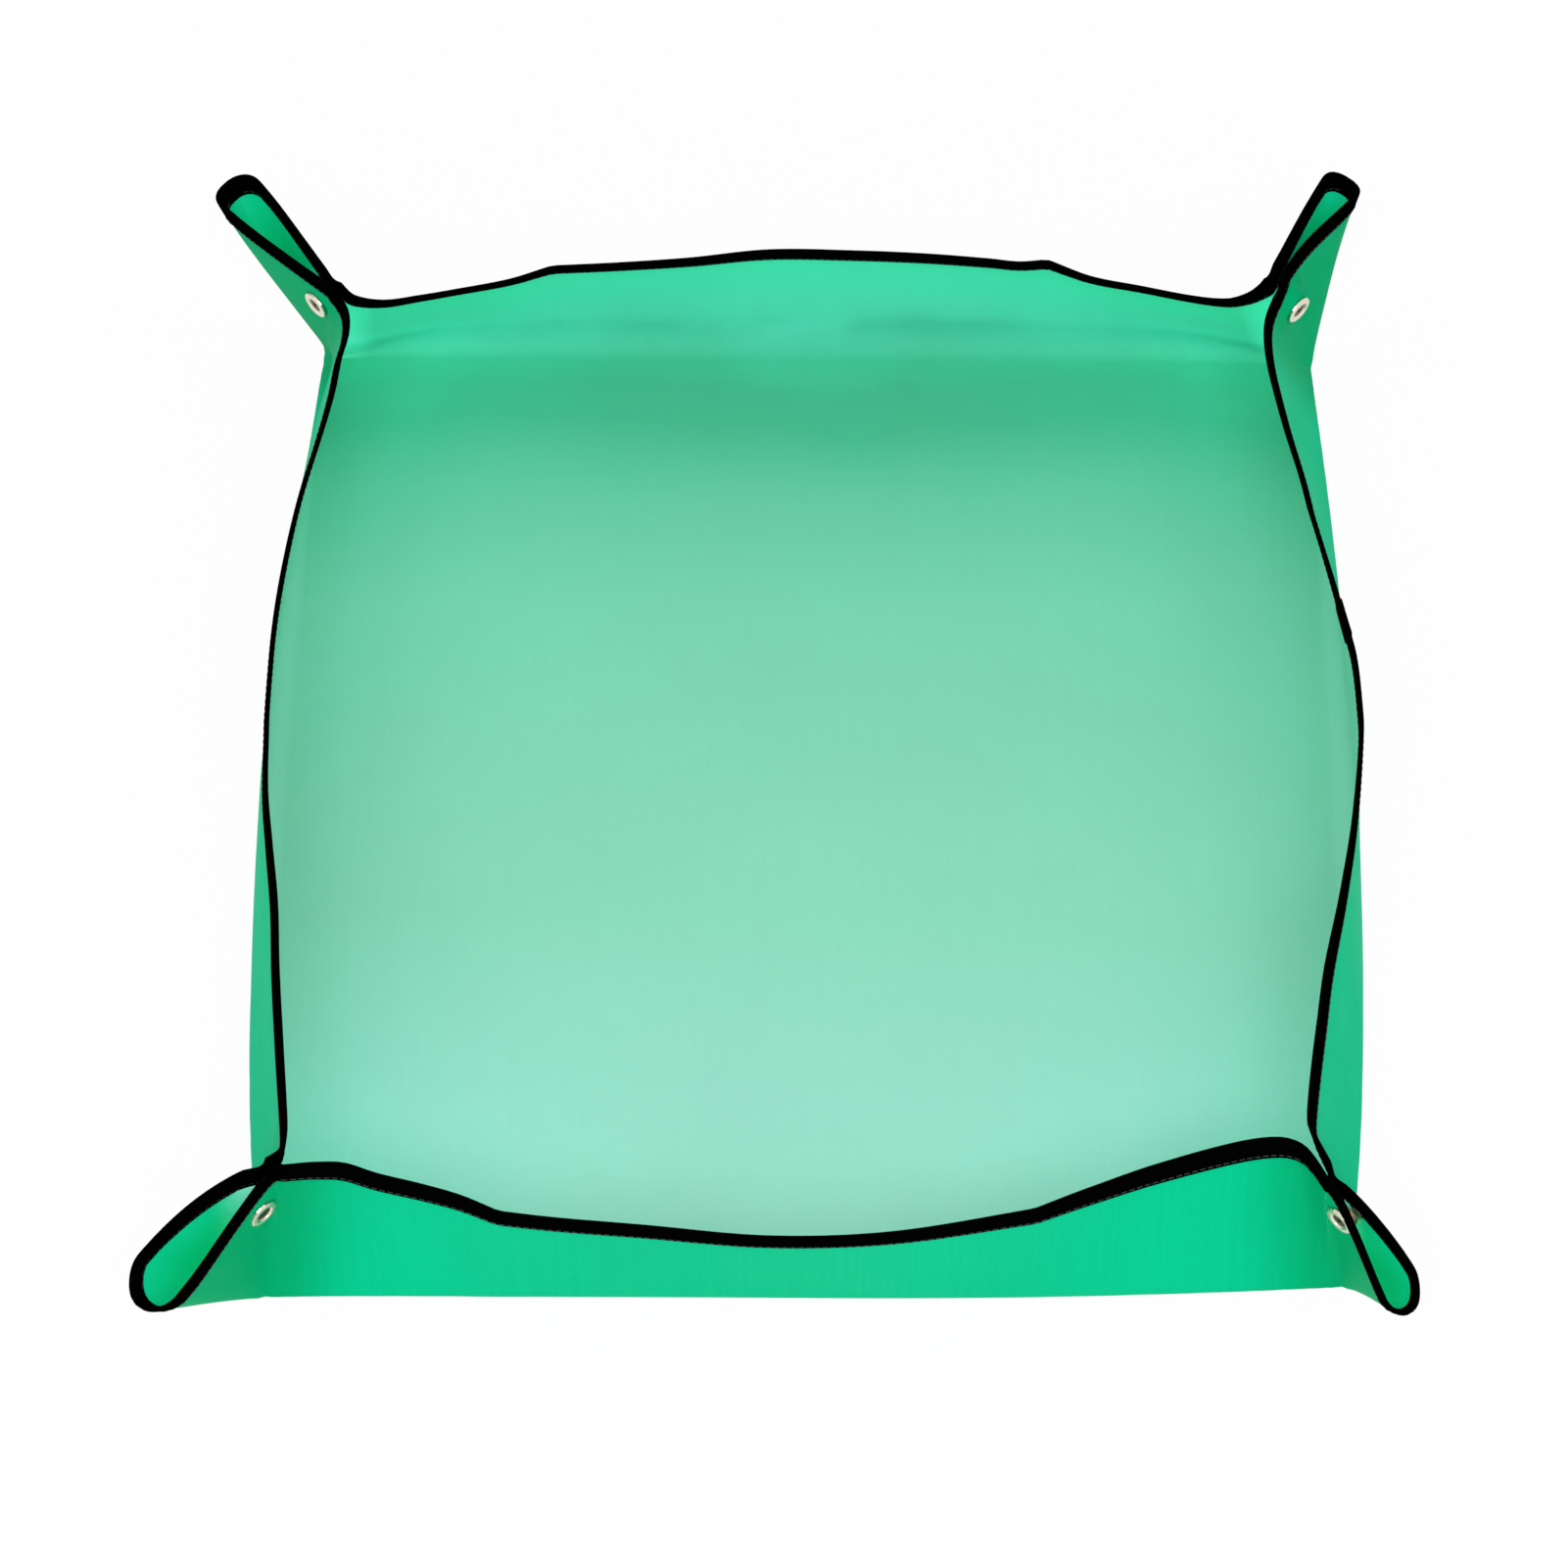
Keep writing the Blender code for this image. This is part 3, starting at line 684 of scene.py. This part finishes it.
def binding_tape():
    """Black woven tape with fine ribs, a little worn."""
    material, nodes, links, shader = new_material("binding_tape_look")
    flat = flat_coordinates(nodes)
    worn = noise(nodes, links, flat, 160.0, 5.0, 0.65)
    base = ramp(nodes, links, worn, [(0.3, (0.0002, 0.0002, 0.0002)), (0.75, (0.0012, 0.0013, 0.0012))])
    links.new(base, shader.inputs["Base Color"])
    shader.inputs["Roughness"].default_value = 0.85
    shader.inputs["Specular IOR Level"].default_value = 0.0
    ribs = bands(nodes, links, flat, "DIAGONAL", TAPE_RIB_PITCH)
    links.new(bumped(nodes, links, ribs, 0.45, 0.0002), shader.inputs["Normal"])
    return material


def sewing_thread():
    """Dark twisted thread."""
    material, nodes, links, shader = new_material("sewing_thread_look")
    flat = flat_coordinates(nodes)
    tone = noise(nodes, links, flat, 600.0)
    base = ramp(nodes, links, tone, [(0.3, (0.006, 0.007, 0.0065)), (0.7, (0.016, 0.018, 0.017))])
    links.new(base, shader.inputs["Base Color"])
    shader.inputs["Roughness"].default_value = 0.6
    twist = bands(nodes, links, flat, "DIAGONAL", THREAD_TWIST_PITCH)
    links.new(bumped(nodes, links, twist, 0.5, 0.0001), shader.inputs["Normal"])
    return material


def stud_metal(name, low, high, rough, centre=None, axis=None, radius=0.0, inner=None):
    """Worn plated metal. Within a radius of its axis it takes another tone, as in a stud's hollow."""
    material, nodes, links, shader = new_material(name)
    place = add(nodes, "ShaderNodeTexCoord").outputs["Object"]
    tone = noise(nodes, links, place, 900.0, 4.0)
    base = ramp(nodes, links, tone, [(0.3, low), (0.7, high)])
    if centre:
        offset = vector_node(nodes, links, "SUBTRACT", place, centre)
        across = vector_node(nodes, links, "CROSS_PRODUCT", offset, axis)
        distance = vector_node(nodes, links, "LENGTH", across)
        share = math_node(nodes, links, "DIVIDE", distance, radius)
        hollow = ramp(nodes, links, share, greys([(0.8, 1), (1.0, 0)]))
        base = mixed(nodes, links, hollow, base, (*inner, 1))
    links.new(base, shader.inputs["Base Color"])
    shader.inputs["Metallic"].default_value = 1.0
    worn = noise(nodes, links, place, 1500.0)
    gloss = ramp(nodes, links, worn, greys([(0.3, rough - 0.06), (0.7, rough + 0.1)]))
    links.new(gloss, shader.inputs["Roughness"])
    links.new(bumped(nodes, links, tone, 0.1, 0.0001), shader.inputs["Normal"])
    return material


FABRIC_FACE = coated_fabric("coated_fabric_face", True)
FABRIC_BACK = coated_fabric("coated_fabric_back", False)
TAPE = binding_tape()
THREAD = sewing_thread()
# a stud's outer metal: low tone, high tone, roughness
CREAM = ((0.66, 0.62, 0.47), (0.84, 0.80, 0.65), 0.28)
METAL_INNER = stud_metal("stud_inner_look", (0.30, 0.22, 0.12), (0.46, 0.36, 0.22), 0.4)
METAL_SPRING = stud_metal("stud_spring_look", (0.45, 0.44, 0.40), (0.62, 0.61, 0.57), 0.25)


# the pieces of the mat
def sheet_of_floor():
    """The floor of the tray, which lies on the table with a few low waves."""
    (length_x, start_x), (length_y, start_y) = FLOOR_WAVES
    points, flats = [], []
    for r in range(FLOOR_STEPS + 1):
        row, uv = [], []
        for c in range(FLOOR_STEPS + 1):
            x = FLOOR_HALF * (2 * c / FLOOR_STEPS - 1)
            y = FLOOR_HALF * (2 * r / FLOOR_STEPS - 1)
            edge = min(FLOOR_HALF - abs(x), FLOOR_HALF - abs(y))
            wave = math.sin(x / length_x + start_x) * math.sin(y / length_y + start_y)
            lift = FLOOR_LIFT * smooth(edge / FLOOR_LIFT_REACH) * (1 + wave)
            row.append(Vector((x + floor_creep(x, y), y + floor_creep(y, x, False), SHEET_LEVEL + lift)))
            uv.append((x * MM, y * MM, 0))
        points.append(row)
        flats.append(uv)
    piece = grid("mat_floor", points, flats, FABRIC_FACE, SHEET, second=FABRIC_BACK)
    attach(piece, "floor")
    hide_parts("floor_panel")
    return piece


def floor_creep(value, other, is_x=True):
    """Creep of a floor point along one axis, by its nearer wall."""
    if is_x:
        wall = "right" if value > 0 else "left"
        share = other if value > 0 else -other
    else:
        wall = "back" if value > 0 else "front"
        share = -other if value > 0 else other
    half = half_length(0)
    outward = creep(wall, min(max(share / half, -1), 1))[1]
    return math.copysign(min(abs(value) / half, 1) ** 2, value) * outward


def wall_shares():
    """Shares along a wall, close together near its corners and kinks."""
    shares = {-1.0, 1.0}
    place = 0.0
    while place < 1:
        off = (1 - place) * FLOOR_HALF
        shares.update((place, -place))
        place += (FINE_STEP + (COARSE_STEP - FINE_STEP) * smooth(off / COARSE_REACH)) / FLOOR_HALF
    return sorted(shares)


def flat_of_wall(wall, share, height):
    """A wall point's place on the flat sheet, in metres."""
    along, out = WALLS[wall]
    place = (along * (half_length(height) * share) + out * (FLOOR_HALF + height)) * MM
    return place.x, place.y, 0.0


def crease_of_wall(share):
    """1 in the soft valley beside a corner line, 0 away from it: the mask of painted shade on the back and of
    a painted glow on the face.
    """
    off = FLOOR_HALF * (1 - abs(share))
    return 1 - smooth(off / VALLEY_WIDTH)


# heights of the rows of a wall's mesh
WALL_ROWS = [0, 0.5, 1.2, 2.2, 3.5, 5, 7, 9, 11.5, 14, 17, 20, 24, 29, 35, 42, 49, 56, 62, 67, 72, 76, 79,
             82, 86, WALL_HEIGHT]


def wall_piece(wall):
    """A wall of the tray, with its face inward."""
    shares = wall_shares()
    points = [[wall_point(wall, s, h) for s in shares] for h in WALL_ROWS]
    flats = [[flat_of_wall(wall, s, h) for s in shares] for h in WALL_ROWS]
    creases = [[crease_of_wall(s) for s in shares] for _ in WALL_ROWS]
    return grid(f"mat_wall_{wall}", points, flats, FABRIC_BACK, SHEET, creases=creases, second=FABRIC_FACE)


# rows of the tape's mesh, and of its lapped end: depth from the rim, and share of the thickness
TAPE_ROWS = [(-TAPE_OVERHANG, 0.30), (-0.15, 0.62), (0.15, 0.85), (0.7, 0.97), (2.5, 1.0), (5.0, 1.0),
             (8.0, 1.0), (10.2, 0.97), (10.7, 0.88), (TAPE_WIDTH, 0.74)]
LAP_ROWS = [(-0.75, 0.35), (-0.5, 0.68), (0.0, 0.9), (1.0, 1.0), (4.0, 1.0), (8.0, 1.0), (10.9, 0.98),
            (11.5, 0.85)]


def wall_tape(wall):
    """The tape bound over a wall's rim."""
    shares = wall_shares()
    points, flats = [], []
    for depth, _ in TAPE_ROWS:
        points.append([wall_point(wall, s, WALL_HEIGHT - depth) for s in shares])
        flats.append([(s * FLOOR_HALF * MM, depth * MM, 0) for s in shares])
    return grid(f"mat_tape_{wall}", points, flats, TAPE, TAPE_THICKNESS, [w for _, w in TAPE_ROWS])


def stitch_piece(name, path, length):
    """Stitches along a path: path(distance, depth) gives a point of the sheet's middle."""
    verts, uvs, faces = [], [], []
    count = int(length // STITCH_PITCH)
    margin = (length - count * STITCH_PITCH) / 2
    for i in range(count):
        start = margin + i * STITCH_PITCH + (STITCH_PITCH - STITCH_LENGTH) / 2
        first = len(verts)
        for k in range(STITCH_STEPS + 1):
            distance = start + STITCH_LENGTH * k / STITCH_STEPS
            for depth in (STITCH_DEPTH - STITCH_WIDTH / 2, STITCH_DEPTH + STITCH_WIDTH / 2):
                verts.append(path(distance, depth) * MM)
                uvs.append((distance * MM, depth * MM, 0))
        for k in range(STITCH_STEPS):
            a = first + 2 * k
            faces.append((a, a + 2, a + 3, a + 1))
    ends = (0, STITCH_STEPS)
    factors = [STITCH_END_SHARE if (i // 2) % (STITCH_STEPS + 1) in ends else 1.0 for i in range(len(verts))]
    return mesh_piece(name, verts, uvs, faces, THREAD, STITCH_THICKNESS, factors)


def wall_stitches(wall):
    """The row of stitches along a wall's tape."""
    half = half_length(WALL_HEIGHT)

    def path(distance, depth):
        return wall_point(wall, distance / half - 1, WALL_HEIGHT - depth)

    return stitch_piece(f"mat_stitches_{wall}", path, 2 * half)


def lap_piece():
    """The tape's end laid over its start on the right rim."""
    reach_share = LAP_HALF / half_length(WALL_HEIGHT)
    shares = [LAP_PLACE_SHARE + (2 * i / LAP_STEPS - 1) * reach_share for i in range(LAP_STEPS + 1)]
    points = [[wall_point("right", s, WALL_HEIGHT - d) for s in shares] for d, _ in LAP_ROWS]
    flats = [[(s * FLOOR_HALF * MM, d * MM, 0) for s in shares] for d, _ in LAP_ROWS]
    return grid("mat_tape_lap", points, flats, TAPE, TAPE_THICKNESS + LAP_EXTRA, [w for _, w in LAP_ROWS])


def place_on_wall(piece, wall):
    """Let a piece ride on a wall, with a mesh of its own."""
    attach(piece, f"wall_{wall}_body")
    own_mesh(piece)


# places along a half ear's rim, first up its straight, then round its arc, as rim_flat counts them
RIM_PLACES = [0, 0.012, 0.025, 0.04, 0.055, 0.075, 0.1, 0.13, 0.17, 0.22, 0.28, 0.35, 0.43, 0.52, 0.61, 0.7,
              0.79, 0.88, 1.0]
EAR_PLACES = RIM_PLACES + [1.12, 1.24, 1.36, 1.48, 1.58, 1.68, 1.76, 1.83, 1.89, 1.94, 1.975, 2.0]
TAPE_PLACES = RIM_PLACES + [1.1, 1.2, 1.3, 1.4, 1.5, 1.59, 1.67, 1.74, 1.81, 1.87, 1.92, 1.96, 2.0]
# shares of the wall's height at which an ear's rows start on the corner line
EAR_ROW_SHARES = [0.0004, 0.012, 0.03, 0.055, 0.09, 0.13, 0.18, 0.24, 0.3, 0.36, 0.42, 0.47, 0.51, 0.54, 0.57,
                  0.6, 0.63, 0.67, 0.71, 0.75, 0.78, 0.81, 0.84, 0.87, 0.9, 0.94, 0.97, 1.0]
TAPE_PLACE_LENGTH = 0.08     # metres of flat tape to one place


def ear_piece(corner, half):
    """A half ear, with a strip that laps onto its wall across the corner line."""
    wall, end = CORNERS[corner][half]
    along, out = WALLS[wall]
    points, flats, creases = [], [], []
    for row_share in EAR_ROW_SHARES:
        height = row_share * WALL_HEIGHT
        width = half_length(height)
        flat_row = [rim_flat(place, 0) * row_share for place in EAR_PLACES]
        points.append([lapped(wall, end, off, height, lift) for off, lift, _ in CORNER_LAP]
                      + [ear_point(corner, half, f) for f in flat_row])
        corner_flat = (along * width * end + out * (FLOOR_HALF + height)).xy
        flats.append([(corner_flat - along.xy * end * off) * MM for off, _, _ in CORNER_LAP]
                     + [(corner_flat + along.xy * end * f.y) * MM for f in flat_row])
        creases.append([crease_of_wall(1 - off / width) for off, _, _ in CORNER_LAP]
                       + [1.0 + smooth(f.y / LEAF_FADE) for f in flat_row])
    columns = [thick for _, _, thick in CORNER_LAP] + [1.0] * len(EAR_PLACES)
    looks = (FABRIC_BACK, FABRIC_FACE) if end > 0 else (FABRIC_FACE, FABRIC_BACK)
    return grid(f"mat_ear_{corner}_{wall}", points, flats, looks[0], SHEET, creases=creases, second=looks[1],
                columns=columns)


def lapped(wall, end, off, height, lift):
    """A point on a wall, at a distance from the corner line."""
    return wall_point(wall, end * (1 - off / half_length(height)), height) + WALLS[wall][1] * lift


def ear_tape(corner, half):
    """The tape on a half ear's rim, with a strip that laps onto the tape of its wall."""
    wall, end = CORNERS[corner][half]
    points, flats = [], []
    for depth, _ in TAPE_ROWS:
        flat_row = [rim_flat(place, depth) for place in TAPE_PLACES]
        points.append([lapped(wall, end, off, WALL_HEIGHT - depth, 0) for off, _ in TAPE_LAP]
                      + [ear_point(corner, half, f) for f in flat_row])
        flats.append([(-off * MM, depth * MM, 0) for off, _ in TAPE_LAP]
                     + [(place * TAPE_PLACE_LENGTH, depth * MM, 0) for place in TAPE_PLACES])
    columns = [thick for _, thick in TAPE_LAP] + [1.0] * len(TAPE_PLACES)
    rows = [w for _, w in TAPE_ROWS]
    return grid(f"mat_ear_tape_{corner}_{wall}", points, flats, TAPE, TAPE_THICKNESS, rows, columns=columns)


def ear_stitches(corner, half):
    """The row of stitches along the tape of a half ear."""
    straight = (rim_flat(1, STITCH_DEPTH) - rim_flat(0, STITCH_DEPTH)).length
    arc = math.pi / 4 * (RIM_RADIUS - STITCH_DEPTH)

    def path(distance, depth):
        place = distance / straight if distance <= straight else 1 + (distance - straight) / arc
        return ear_point(corner, half, rim_flat(place, depth))

    wall = CORNERS[corner][half][0]
    return stitch_piece(f"mat_ear_stitches_{corner}_{wall}", path, straight + arc)


def place_on_ear(piece, corner, half):
    """Let a piece ride on a half ear, with a mesh of its own."""
    wall, end = CORNERS[corner][half]
    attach(piece, f"ear_{corner}_{wall}_body")
    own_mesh(piece)


floor_sheet = sheet_of_floor()
for wall in WALLS:
    sheet = wall_piece(wall)
    tape = wall_tape(wall)
    stitches = wall_stitches(wall)
    pieces = [tape, stitches]
    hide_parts(f"wall_{wall}")
    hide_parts(f"binding_{wall}")
    if wall == "right":
        lap = lap_piece()
        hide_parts("binding_lap_right")
        pieces.append(lap)
    place_on_wall(sheet, wall)
    for piece in pieces:
        place_on_wall(piece, wall)
for corner, halves in CORNERS.items():
    for half, (wall, end) in enumerate(halves):
        sheet = ear_piece(corner, half)
        tape = ear_tape(corner, half)
        stitches = ear_stitches(corner, half)
        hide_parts(f"ear_{corner}_{wall}")
        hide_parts(f"ear_binding_{corner}_{wall}")
        place_on_ear(sheet, corner, half)
        place_on_ear(tape, corner, half)
        place_on_ear(stitches, corner, half)

# the hollow in a post's ring and the top of a cap's dome: radius and tone
HOLLOWS = {"post": (4.2, (0.05, 0.028, 0.010)), "cap": (3.0, (0.52, 0.43, 0.31))}


def snap_look(kind, corner):
    """The look of one metal piece of a snap."""
    if kind == "spring":
        return METAL_SPRING
    if kind in ("stud", "socket"):
        return METAL_INNER
    wall, end = CORNERS[corner][0]
    rise, across, side, foot, _ = ear_frame(wall, end)
    centre = (foot + rise * SNAP[0] + across * SNAP[1]) * MM
    radius, inner = HOLLOWS[kind]
    return stud_metal(f"stud_{kind}_{corner}_look", *CREAM, tuple(centre), tuple(side), radius * MM, inner)


for name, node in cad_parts.items():
    if not name.startswith("snap_"):
        continue
    _, kind, corner = name.split("_", 2)
    look = snap_look(kind, corner)
    for slot in node.material_slots:
        slot.material = look


# stage, light and camera
STAGE_HALF = 9.0             # in metres, like the level
STAGE_LEVEL = -0.0005
STAGE_TONE = (0.9, 0.9, 0.9, 1)
STAGE_WHITE_SHARE = 0.95     # of plain white, where the camera, metal or glass sees the stage
WORLD_LEVEL = 0.58           # of the world's light on the object
WORLD_WHITE = 0.42           # more, where the camera, metal or glass sees it


def seen_rays(nodes, links):
    """1 for a camera, glossy or transmission ray."""
    path = nodes.new("ShaderNodeLightPath")
    seen = math_node(nodes, links, "MAXIMUM", path.outputs["Is Camera Ray"], path.outputs["Is Glossy Ray"])
    return math_node(nodes, links, "MAXIMUM", seen, path.outputs["Is Transmission Ray"])


def stage_plane():
    """The white table, which keeps the mat's shadow."""
    corners = [(-STAGE_HALF, -STAGE_HALF, 0), (STAGE_HALF, -STAGE_HALF, 0), (STAGE_HALF, STAGE_HALF, 0),
               (-STAGE_HALF, STAGE_HALF, 0)]
    mesh = bpy.data.meshes.new("stage_floor")
    mesh.from_pydata(corners, [], [(0, 1, 2, 3)])
    plane = bpy.data.objects.new("stage_floor", mesh)
    bpy.context.scene.collection.objects.link(plane)
    plane.location.z = STAGE_LEVEL
    material = bpy.data.materials.new("stage_floor_look")
    material.use_nodes = True
    nodes, links = material.node_tree.nodes, material.node_tree.links
    nodes.clear()
    output = nodes.new("ShaderNodeOutputMaterial")
    diffuse = add(nodes, "ShaderNodeBsdfDiffuse", in_Color=STAGE_TONE)
    white = add(nodes, "ShaderNodeEmission", in_Color=(1, 1, 1, 1), in_Strength=1.0)
    share = math_node(nodes, links, "MULTIPLY", seen_rays(nodes, links), STAGE_WHITE_SHARE)
    mix = nodes.new("ShaderNodeMixShader")
    links.new(share, mix.inputs[0])
    links.new(diffuse.outputs[0], mix.inputs[1])
    links.new(white.outputs[0], mix.inputs[2])
    links.new(mix.outputs[0], output.inputs[0])
    mesh.materials.append(material)


def studio():
    """An even white room."""
    world = bpy.data.worlds.new("studio")
    bpy.context.scene.world = world
    world.use_nodes = True
    nodes, links = world.node_tree.nodes, world.node_tree.links
    background = nodes["Background"]
    background.inputs["Color"].default_value = (1, 1, 1, 1)
    more = math_node(nodes, links, "MULTIPLY", seen_rays(nodes, links), WORLD_WHITE)
    links.new(math_node(nodes, links, "ADD", more, WORLD_LEVEL), background.inputs["Strength"])


LAMP_TARGET = Vector((0, 0, 0))


def soft_light(name, place, size, size_y, power):
    """A large lamp, aimed at the middle of the mat."""
    data = bpy.data.lights.new(name, "AREA")
    data.shape = "RECTANGLE"
    data.size = size
    data.size_y = size_y
    data.energy = power
    lamp = bpy.data.objects.new(name, data)
    bpy.context.scene.collection.objects.link(lamp)
    lamp.location = place
    lamp.rotation_euler = (LAMP_TARGET - Vector(place)).to_track_quat("-Z", "Y").to_euler()


CAMERA_ELEVATION = math.radians(62.63)
CAMERA_YAW = math.radians(0.61)
CAMERA_ROLL = math.radians(-0.19)
CAMERA_DISTANCE = 2.1
CAMERA_TARGET = Vector((-0.0098, 0.0062, 0))
SENSOR_WIDTH = 36            # in millimetres, as the lens
LENS = 97.97


def camera():
    """The photo's view: from the front and well above."""
    elevation, yaw, roll = CAMERA_ELEVATION, CAMERA_YAW, CAMERA_ROLL
    flat_reach = math.cos(elevation)
    back = Vector((math.sin(yaw) * flat_reach, -math.cos(yaw) * flat_reach, math.sin(elevation)))
    level = (-back).cross(UP).normalized()
    upward = level.cross(-back)
    right = level * math.cos(roll) + upward * math.sin(roll)
    top = upward * math.cos(roll) - level * math.sin(roll)
    data = bpy.data.cameras.new("camera")
    data.sensor_fit = "HORIZONTAL"
    data.sensor_width = SENSOR_WIDTH
    data.lens = LENS
    item = bpy.data.objects.new("camera", data)
    bpy.context.scene.collection.objects.link(item)
    turn = Matrix((right, top, back)).transposed().to_4x4()
    item.matrix_world = Matrix.Translation(CAMERA_TARGET + back * CAMERA_DISTANCE) @ turn
    bpy.context.scene.camera = item


# each lamp: place, width, height, power in watts
LAMPS = {
    "main": ((0.0, -1.15, 2.1), 1.9, 1.1, 19),
    "front": ((0.0, -2.3, 1.05), 2.5, 1.0, 10),
    "left": ((-1.9, 0.0, 1.9), 1.5, 1.5, 8),
    "right": ((1.9, 0.0, 1.9), 1.5, 1.5, 8),
}
stage_plane()
studio()
for name, (place, width, height, power) in LAMPS.items():
    soft_light(name, place, width, height, power)
camera()
bpy.context.scene.view_settings.view_transform = "Standard"
